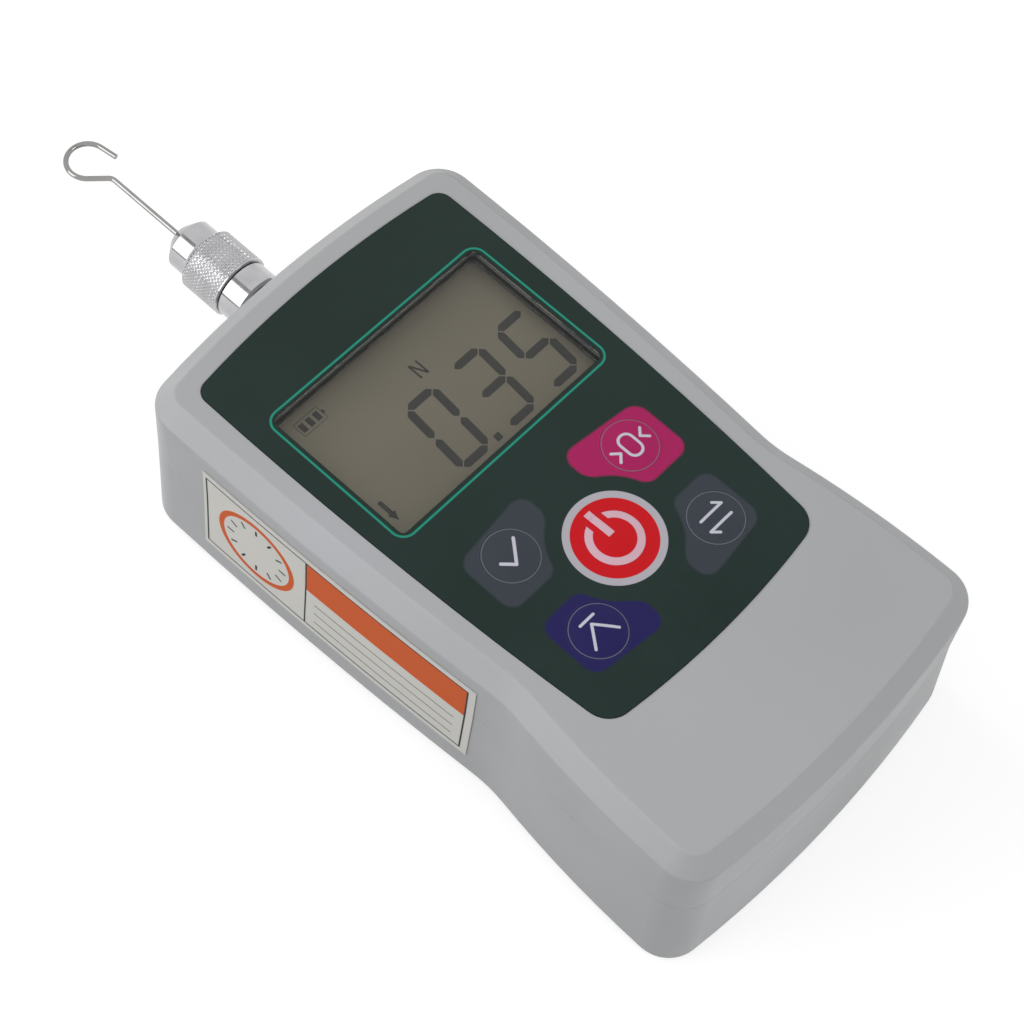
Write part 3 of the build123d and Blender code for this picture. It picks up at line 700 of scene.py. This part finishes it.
def flatPiece(name, shapes, height, thick, paint, slotName):
    # thin plates of ink that lie on a face
    work = bmesh.new()
    for points in shapes:
        work.faces.new([work.verts.new((x * mm, y * mm, height)) for x, y in points])
    tops = bmesh.ops.extrude_face_region(work, geom=work.faces[:])["geom"]
    raised = [item for item in tops if isinstance(item, bmesh.types.BMVert)]
    bmesh.ops.translate(work, verts=raised, vec=(0, 0, thick))
    bmesh.ops.recalc_face_normals(work, faces=work.faces[:])
    mesh = bpy.data.meshes.new(name)
    work.to_mesh(mesh)
    work.free()
    return addPiece(name, mesh, paint, slotName, "housing")


paintNode("display_window", windowPaint())
paintNode("lcd_panel", glassPaint())
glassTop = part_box("lcd_panel")[1][2]
inkAndShadeFoot = glassTop + display["inkLift"]
flatPiece("display_segments", displayOutlines(), inkAndShadeFoot, display["inkThick"], inkPaint(), "display_glass")
print("display made")


# chuck and hook

chuck = {
    "axisHeight": 15.0,
    "steelColor": (0.50, 0.50, 0.51, 1),
    "wireColor": (0.33, 0.325, 0.32, 1),
    # painted shade: the shaft's steel is darker than the chuck's, so the gap behind the hub looks shaded
    "shaftShadedColor": (0.34, 0.34, 0.35, 1),
    "rough": 0.11,
    "wireRough": 0.09,
    "shaftRough": 0.22,
    "coneShade": 0.28,            # painted shade: the nose's cone is painted darker than the rest
    "coneStart": (85.42, 85.5),
    "nutSides": 384,
    "knurlTeeth": 48,
    "knurlDepth": 0.18,
    "knurlPitch": 0.84,           # along the axis
    "knurlSpan": (73.2, 80.95),
    "knurlRows": 84,
    "knurlFlat": 0.45,            # share of a tooth that is left full
    "knurlFade": 0.12,
    "nutBack": 72.71,
    "nutBackEdge": ((0.22, 0.0), (0.05, 0.16), (0.0, 0.24)),    # in from the radius, on from the back
    "nutFrontEdge": ((0.06, 81.05), (0.3, 81.2)),               # in from the radius, height
    "noseFoot": (0.12, 81.66),                                  # out from the nose, height
    "noseTip": ((4.72, 85.6), (4.6, 85.72), (2.66, 87.38), (2.55, 87.46), (2.4, 87.5)),
    "nutInside": ((1.5, 87.5), (1.5, 87.25), (3.4, 81.1), (3.4, 80.2), (4.06, 80.2)),
    "nutMouth": (4.2, 4.06, 0.14),                              # outer and inner radius, depth
    "nutRadius": 6.0,
    "noseRadius": 4.85,
    "noseSpan": (81.9, 85.4),
    "hubRadius": 5.5,
    "hubSpan": (67.85, 72.65),
    "hubSides": 192,
    "hubBackEdge": ((0.5, 0.0), (0.38, 0.03), (0.05, 0.42)),    # in from the radius, on from the back
    "hubWall": (0.5, 0.12),       # the straight wall stops this short of back and shoulder
    "hubShoulderEdge": 0.1,
    "hubBore": 3.05,
    "neckRadius": 4.0,
    "neckEnd": 79.6,
    "neckBore": 2.4,
    "boreStep": 75.9,
}


def steelPaint(name, color, rough, coneShade=0.0):
    # turned steel, with fine rings across the axis that it turned about and faint stains, and painted shade
    # on the nose's cone where coneShade is given
    paint = Paint(name, metal=1.0)
    _, along, _ = paint.split(paint.place())
    turning = paint.noise(9000.0, 2.0, paint.join(0.0, along, 0.0))
    stain = paint.noise(350.0, 3.0)
    paint.set("rough", stain.within(0.3, 0.7, rough * 0.8, rough * 1.5))
    worn = paint.mix(stain.within(0.35, 0.7), *shadedTones(color, 0.9))
    # painted shade: steel past coneStart along the axis is mixed towards black
    cone = (along / mm).within(*chuck["coneStart"], 0.0, coneShade)
    paint.set("color", paint.mix(cone, worn, black))
    return paint.set("normal", paint.bump(turning, 0.000002))


def knurled(radius, height, turn):
    start, end = chuck["knurlSpan"]
    if radius < chuck["nutRadius"] - 0.02 or not start <= height <= end:
        return radius, height
    along = (height - start) / chuck["knurlPitch"] * math.pi
    around = turn * chuck["knurlTeeth"] / 2
    groove = max(abs(math.cos(around + along)), abs(math.cos(around - along)))
    full, run = chuck["knurlFlat"], chuck["knurlFade"]
    sharp = max(0.0, groove - full) / (1 - full)
    fade = min(1.0, (height - start) / run, (end - height) / run)
    return radius - chuck["knurlDepth"] * sharp * fade, height


def cylinderRows(radius, start, end, support=0.12):
    # rows close to both ends keep the wall's normals straight
    return [(radius, start), (radius, start + support), (radius, end - support), (radius, end)]


def nutProfile():
    start, end = chuck["knurlSpan"]
    back, full, nose = chuck["nutBack"], chuck["nutRadius"], chuck["noseRadius"]
    mouth, bore, depth = chuck["nutMouth"]
    rows = chuck["knurlRows"]
    outer = [(mouth, back)] + [(full - inward, back + on) for inward, on in chuck["nutBackEdge"]]
    outer += [(full, start + (end - start) * i / rows) for i in range(rows + 1)]
    outer += [(full - inward, height) for inward, height in chuck["nutFrontEdge"]]
    outer += [(nose + chuck["noseFoot"][0], chuck["noseFoot"][1])]
    outer += cylinderRows(nose, *chuck["noseSpan"])
    return [*outer, *chuck["noseTip"], *chuck["nutInside"], (bore, back + depth)]


def hubProfile():
    back, shoulder = chuck["hubSpan"]
    radius, neck, inner = chuck["hubRadius"], chuck["neckRadius"], chuck["neckBore"]
    fromBack, fromShoulder = chuck["hubWall"]
    edge = [(radius - inward, back + on) for inward, on in chuck["hubBackEdge"]]
    outer = [(chuck["hubBore"], back), *edge]
    outer += cylinderRows(radius, back + fromBack, shoulder - fromShoulder)
    outer += [(radius - chuck["hubShoulderEdge"], shoulder), (neck, shoulder), (neck, chuck["neckEnd"])]
    step = chuck["boreStep"]
    return outer + [(inner, chuck["neckEnd"]), (inner, step), (chuck["hubBore"], step)]


axle = [standing(0, 0, chuck["axisHeight"], (0, 1, 0))]
steel = steelPaint("chuckSteel", chuck["steelColor"], chuck["rough"], chuck["coneShade"])
wire = steelPaint("drawnWire", chuck["wireColor"], chuck["wireRough"])
nutMesh = turnedMesh("chuck_nut_knurled", nutProfile(), chuck["nutSides"], axle, knurled)
addPiece("chuck_nut_knurled", nutMesh, steel, "chuck_steel", "chuck_sleeve", "chuck_nut")
hubMesh = turnedMesh("chuck_hub_turned", hubProfile(), chuck["hubSides"], axle)
addPiece("chuck_hub_turned", hubMesh, steel, "chuck_steel", "force_shaft", "chuck_hub")
paintNode("collet", steel)
# the shaft is painted darker: painted shade in the gap behind the hub
paintNode("sensor_shaft", steelPaint("shadedGroundShaft", chuck["shaftShadedColor"], chuck["shaftRough"]))
paintNode("hook", wire)
print("chuck made")


# side label: a blank generic sticker

label = {
    "paperColor": srgb(212, 211, 206),
    "lineColor": srgb(38, 38, 38),
    "bandColor": srgb(206, 92, 42),
    "middle": (16.25, 18.0),      # along the wall and up it
    "size": (55.7, 20.5),
    "line": 0.35,
    "divider": 21.95,
    "bandHeight": 9.0,
    "ringCentre": (33.0, 17.9),
    "ringRadius": 7.9,
    "ringWidth": 1.15,
    "dialMarks": 12,
    "dialMark": (5.2, 6.4),       # from and to these radii
    "dialStroke": 0.45,
    "writingLines": 3,
    "writingFoot": 2.6,
    "writingStep": 2.9,
    "writingWidth": 0.22,
    "writingMargin": 4.0,         # both ends together
}


def labelPaint():
    paint = Paint("labelFilm", rough=0.55, shine=0.08)
    p = flat(paint, (0, 1, 0), (0, 0, 1))
    line = label["line"]
    centre, size = label["middle"], label["size"]
    foot, top = centre[1] - size[1] / 2, centre[1] + size[1] / 2
    start = centre[0] - size[0] / 2
    color = label["paperColor"]
    bandCentre = ((start + label["divider"]) / 2, top - label["bandHeight"] / 2)
    band = bar(p, bandCentre, (label["divider"] - start, label["bandHeight"]))
    color = paint.mix(shapeMask(band), color, label["bandColor"])
    x, y = label["ringCentre"]
    dial = ring(p, (x, y), label["ringRadius"], label["ringWidth"])
    color = paint.mix(shapeMask(dial), color, label["bandColor"])
    marks = outline(bar(p, centre, size), line) | bar(p, (label["divider"], centre[1]), (line, size[1]))
    for step in range(label["dialMarks"]):
        turn = 2 * math.pi * step / label["dialMarks"]
        points = [(x + r * math.cos(turn), y + r * math.sin(turn)) for r in label["dialMark"]]
        marks = marks | stroke(p, *points, label["dialStroke"])
    writing = (label["divider"] - start - label["writingMargin"], label["writingWidth"])
    for step in range(label["writingLines"]):
        level = foot + label["writingFoot"] + label["writingStep"] * step
        marks = marks | bar(p, (bandCentre[0], level), writing)
    paint.set("color", paint.mix(shapeMask(marks), color, label["lineColor"]))
    return paint.set("normal", paint.bump(paint.noise(1500.0, 2.0), 0.000003))


paintNode("side_label", labelPaint())
print("label printed")


# screws and inserts, as turned bodies with a cross or a thread cut in

fixings = {
    "headRadius": 2.7,
    "headHeight": 2.0,
    "shankRadius": 1.45,
    "armHalf": 0.36,              # half the width of one arm of the cross
    "armReach": 1.75,
    "crossDepth": 1.15,
    "crossSlope": 0.14,           # width of the cross's sloping walls
    "armFade": 0.5,
    "crownStep": 0.08,
    "crownRows": 24,
    "headEdge": ((2.1, 0.03), (2.4, 0.16), (2.64, 0.42), (2.7, 0.7)),     # radius, below the top
    "screwInset": 2.75,           # screw middles from the corners of their box
    "endInset": 0.2,              # the two by the hook stand this much closer
    "tipEdge": (0.35, 0.49),      # in from the shank, back from its tip
    "tipShort": 0.01,
    "screwSides": 128,
    "seat": 3.6,
    "boreRadius": 1.65,
    "rootRadius": 1.95,
    "pitch": 0.7,
    "threadLand": 0.12,
    "threadDrop": 0.38,
    "threadRun": (0.4, 0.5),      # the thread starts and stops this far from the ends
    "insertRadius": 2.8,
    "insertSides": 64,
    "steelColor": (0.55, 0.55, 0.54, 1),
    "brassColor": (0.62, 0.44, 0.20, 1),
}


def crossCut(radius, height, turn):
    # a driver's cross with sloping walls, in the top of the head alone
    if height < fixings["headHeight"] - 0.01:
        return radius, height
    arm = radius * min(abs(math.cos(turn)), abs(math.sin(turn)))
    slope = min(1.0, max(0.0, (fixings["armHalf"] - arm) / fixings["crossSlope"]))
    reach = min(1.0, max(0.0, (fixings["armReach"] - radius) / fixings["armFade"]))
    return radius, height - fixings["crossDepth"] * slope * reach


def screwMesh():
    head, shank, top = fixings["headRadius"], fixings["shankRadius"], fixings["headHeight"]
    low, high = (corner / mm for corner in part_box("case_screws"))
    tip = fixings["tipShort"] - (high.z - fixings["seat"])
    inward, back = fixings["tipEdge"]
    profile = [(fixings["crownStep"] * step, top) for step in range(fixings["crownRows"])]
    profile += [(radius, top - below) for radius, below in fixings["headEdge"]]
    profile += [(head, 0.0), (shank, 0.0), (shank, tip + back), (shank - inward, tip), (0.0, tip)]
    inset = fixings["screwInset"]
    frames = []
    for x in (low.x + inset, high.x - inset):
        for y in (low.y + inset, high.y - inset):
            closer = fixings["endInset"] if y > 0 else 0.0
            frames.append(standing(x - math.copysign(closer, x), y, fixings["seat"], (0, 0, -1)))
    return turnedMesh("case_screws_crossed", profile, fixings["screwSides"], frames, crossCut)


def insertMesh():
    low, high = (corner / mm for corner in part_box("stand_inserts"))
    outer, bore, root = fixings["insertRadius"], fixings["boreRadius"], fixings["rootRadius"]
    profile = [(outer, low.z), (outer, high.z), (bore + 0.1, high.z)]
    fromTop, fromFoot = fixings["threadRun"]
    height = high.z - fromTop
    while height - fixings["pitch"] > low.z + fromFoot:
        profile += [(bore, height), (bore, height - fixings["threadLand"])]
        profile += [(root, height - fixings["threadDrop"])]
        height -= fixings["pitch"]
    profile += [(bore, height), (root + 0.1, low.z)]
    middles = [(x, y) for x in (low.x + outer, high.x - outer) for y in (low.y + outer, high.y - outer)]
    frames = [standing(x, y, 0) for x, y in middles]
    return turnedMesh("stand_inserts_threaded", profile, fixings["insertSides"], frames)


def platedPaint(name, color, rough=0.26, grain=1400.0):
    # plated metal with a cloudy finish and fine pits
    paint = Paint(name, metal=1.0)
    cloud = paint.noise(420.0, 4.0)
    paint.set("color", paint.mix(cloud.within(0.3, 0.7), *shadedTones(color, 0.78)))
    paint.set("rough", cloud.within(0.25, 0.75, rough * 0.75, rough * 1.6))
    return paint.set("normal", paint.bump(paint.noise(grain, 3.0), 0.000006))


plated = platedPaint("platedSteel", fixings["steelColor"])
brass = platedPaint("turnedBrass", fixings["brassColor"], 0.22, 3000.0)
addPiece("case_screws_crossed", screwMesh(), plated, "screw_steel", "housing", "case_screws")
addPiece("stand_inserts_threaded", insertMesh(), brass, "brass_insert", "housing", "stand_inserts")
for name in ("board_screws", "socket_screws", "cell_screws", "carrier_screws", "shaft_nut"):
    paintNode(name, plated)
paintNode("case_inserts", brass)
print("screws and inserts made")


# inside pieces

inside = {
    "blackPlastic": (srgb(20, 21, 22), srgb(29, 30, 31)),
    "foam": (srgb(34, 34, 36), srgb(52, 52, 54)),
    "epoxy": (srgb(22, 22, 24), srgb(34, 34, 36)),
    "mask": (srgb(18, 78, 44), srgb(24, 92, 54)),
    "track": srgb(38, 120, 70),
    "padTin": srgb(186, 184, 176),
    "trackPitch": 1.27,
    "stripPitch": 0.5,
    "stripColors": (srgb(46, 44, 46), srgb(176, 168, 160)),
    "aluminium": (0.58, 0.59, 0.60, 1),
    "pouch": srgb(160, 163, 168),
    "tape": srgb(176, 122, 44),
    "stem": srgb(150, 40, 36),
    "gold": (0.72, 0.52, 0.22, 1),
    # widths and heights in millimetres
    "trackHalf": 0.2,
    "holeStep": 4,                # track pitches from hole to hole
    "holeRadius": 0.55,
    "footPitch": 0.8,
    "footHalf": 0.2,
    "footTop": (24.0, 24.1),      # chip feet are tinned above this height
    "plateFoot": (28.55, 28.6),   # switch cover plate and stem, by height
    "stemFoot": (29.55, 29.6),
    "tapeWidth": 7.0,
    "tongueHalf": (2.6, 0.6),
    "contactPitch": 0.65,
    "contactHalf": 0.12,
    "pinSpan": (12.0, 1.6),       # in from the mouth of the socket
    "pinRadius": 0.65,
}


def grainPaint(name, tones, scale, rough, depth, shine=0.3):
    # moulded or foamed stuff in two close tones
    paint = Paint(name, shine=shine)
    tone = paint.noise(scale, 4.0)
    paint.set("color", paint.mix(tone.within(0.32, 0.68), *tones))
    paint.set("rough", tone.within(0.3, 0.7, rough - 0.06, rough + 0.08))
    return paint.set("normal", paint.bump(paint.noise(scale * 6, 2.0), depth))


def repeat(coordinate, pitch):
    # distance to the nearest of a row of even lines
    return abs((coordinate / pitch).math("FRACT") - 0.5) * pitch


def stripPaint():
    # zebra strip: fine conductive layers across its length
    paint = Paint("zebraStrip", rough=0.6, shine=0.2)
    x, _, _ = paint.split(flat(paint))
    dark, pale = inside["stripColors"]
    layer = repeat(x, inside["stripPitch"]) - inside["stripPitch"] / 4
    paint.set("color", paint.mix(shapeMask(layer, 0.03), dark, pale))
    return paint.set("normal", paint.bump(paint.noise(2200.0, 2.0), 0.000005))


def boardPaint():
    # green solder mask over tracks, with rows of tinned holes
    paint = Paint("circuitBoard", shine=0.45)
    p = flat(paint)
    x, y, _ = paint.split(p)
    pitch = inside["trackPitch"]
    patch = paint.noise(85.0, 1.0).within(0.46, 0.5)
    across = repeat(x, pitch) - inside["trackHalf"]
    down = repeat(y, pitch) - inside["trackHalf"]
    color = paint.mix(paint.noise(20.0).within(0.4, 0.6), *inside["mask"])
    color = paint.mix(shapeMask(across) * patch, color, inside["track"])
    color = paint.mix(shapeMask(down) * (1.0 - patch), color, inside["track"])
    step = pitch * inside["holeStep"]
    hole = paint.join(repeat(x, step), repeat(y, step), 0.0).length() - inside["holeRadius"]
    tin = shapeMask(hole) * paint.noise(140.0, 0.0).within(0.5, 0.53)
    paint.set("color", paint.mix(tin, color, inside["padTin"])).set("metal", tin)
    paint.set("rough", tin.within(0.0, 1.0, 0.32, 0.2))
    height = (shapeMask(across) * patch).math("MAXIMUM", shapeMask(down) * (1.0 - patch)) + tin
    return paint.set("normal", paint.bump(height, 0.00003))


def chipPaint():
    # moulded epoxy with tinned feet where it meets the board
    paint = Paint("chipEpoxy", shine=0.25)
    x, y, z = paint.split(paint.place())
    feet = repeat((x + y) / mm, inside["footPitch"]) - inside["footHalf"]
    tone = paint.noise(3000.0, 2.0)
    color = paint.mix(tone.within(0.3, 0.7), *inside["epoxy"])
    tin = shapeMask(feet) * (z / mm).within(*inside["footTop"])
    paint.set("color", paint.mix(tin, color, inside["padTin"])).set("metal", tin)
    paint.set("rough", tone.within(0.3, 0.7, 0.42, 0.6))
    return paint.set("normal", paint.bump(tone, 0.000006))


def switchPaint():
    # black base, tinned cover plate and a coloured stem, by height
    paint = Paint("tactSwitch", shine=0.3)
    _, _, z = paint.split(paint.place())
    level = z / mm
    tone = paint.noise(700.0, 3.0)
    plate = level.within(*inside["plateFoot"])
    stem = level.within(*inside["stemFoot"])
    color = paint.mix(tone.within(0.3, 0.7), *inside["blackPlastic"])
    color = paint.mix(plate, color, inside["padTin"])
    paint.set("color", paint.mix(stem, color, inside["stem"])).set("metal", plate * (1.0 - stem))
    paint.set("rough", tone.within(0.3, 0.7, 0.3, 0.45))
    return paint.set("normal", paint.bump(paint.noise(2500.0, 2.0), 0.000004))


def milledPaint(name, color, stretch):
    # milled aluminium: fine lines along one direction
    paint = Paint(name, metal=1.0)
    lines = paint.noise(900.0, 3.0, paint.place().vector("MULTIPLY", stretch))
    cloud = paint.noise(120.0, 2.0)
    paint.set("color", paint.mix(cloud.within(0.3, 0.7), *shadedTones(color, 0.86)))
    paint.set("rough", lines.within(0.3, 0.7, 0.26, 0.42))
    return paint.set("normal", paint.bump(lines, 0.000008))


def batteryPaint():
    # foil pouch with a band of tape over its sealed end
    paint = Paint("pouchCell")
    _, y, _ = paint.split(paint.place())
    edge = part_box("battery_pack")[1][1] / mm - inside["tapeWidth"]
    band = (y / mm - edge).within(-0.05, 0.05)
    crease = paint.noise(160.0, 5.0, rough=0.65)
    paint.set("color", paint.mix(band, inside["pouch"], inside["tape"]))
    paint.set("metal", band.within(0.0, 1.0, 0.75, 0.0)).set("rough", crease.within(0.3, 0.7, 0.28, 0.46))
    return paint.set("normal", paint.bump(crease + band * 0.3, 0.00012))


def portPaint():
    # plated shell round a black tongue that carries gold contacts
    paint = Paint("portShell", rough=0.25)
    low, high = (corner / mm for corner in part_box("data_port"))
    middle = (low + high) / 2
    _, y, z = paint.split(paint.place())
    wide, tall = inside["tongueHalf"]
    across = abs(y / mm - middle.y) - wide
    up = abs(z / mm - middle.z) - tall
    tongue = shapeMask(across & up, 0.02)
    contact = shapeMask(repeat(y / mm, inside["contactPitch"]) - inside["contactHalf"], 0.02) * tongue
    color = paint.mix(tongue, fixings["steelColor"], inside["blackPlastic"][0])
    paint.set("color", paint.mix(contact, color, inside["gold"]))
    paint.set("metal", 1.0 - tongue * (1.0 - contact))
    return paint.set("normal", paint.bump(paint.noise(1800.0, 3.0), 0.000005))


def pinMesh():
    # centre pin of the charging socket
    low, high = (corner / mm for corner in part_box("charge_jack"))
    middle = (low + high) / 2
    start, end = (high.x - inward for inward in inside["pinSpan"])
    radius, sides = inside["pinRadius"], 48
    tip = [(radius, end - 0.4), (radius - 0.15, end - 0.1), (radius - 0.4, end), (0, end)]
    profile = [(0, start), (radius, start), *tip]
    return turnedMesh("jack_pin", profile, sides, [standing(0, middle.y, middle.z, (1, 0, 0))])


blackPlastic = grainPaint("blackPlastic", inside["blackPlastic"], 260.0, 0.55, 0.00001)
board = boardPaint()
paintNode("lcd_holder", blackPlastic)
paintNode("charge_jack", grainPaint("socketPlastic", inside["blackPlastic"], 420.0, 0.4, 0.000008))
paintNode("shaft_bushing", grainPaint("bushingPlastic", inside["blackPlastic"], 600.0, 0.35, 0.000006))
paintNode("battery_pad", grainPaint("padFoam", inside["foam"], 900.0, 0.85, 0.00012, 0.1))
paintNode("elastomer_strips", stripPaint())
paintNode("main_board", board)
paintNode("socket_board", board)
paintNode("board_chips", chipPaint())
paintNode("key_switches", switchPaint())
paintNode("load_cell", milledPaint("milledCell", inside["aluminium"], (0.06, 1.0, 1.0)))
carrierColor = shadedTones(inside["aluminium"], 0.8)[1]
paintNode("cell_carrier", milledPaint("milledCarrier", carrierColor, (1.0, 0.06, 1.0)))
paintNode("battery_pack", batteryPaint())
paintNode("data_port", portPaint())
addPiece("jack_pin", pinMesh(), plated, "screw_steel", "housing")
print("inside painted")
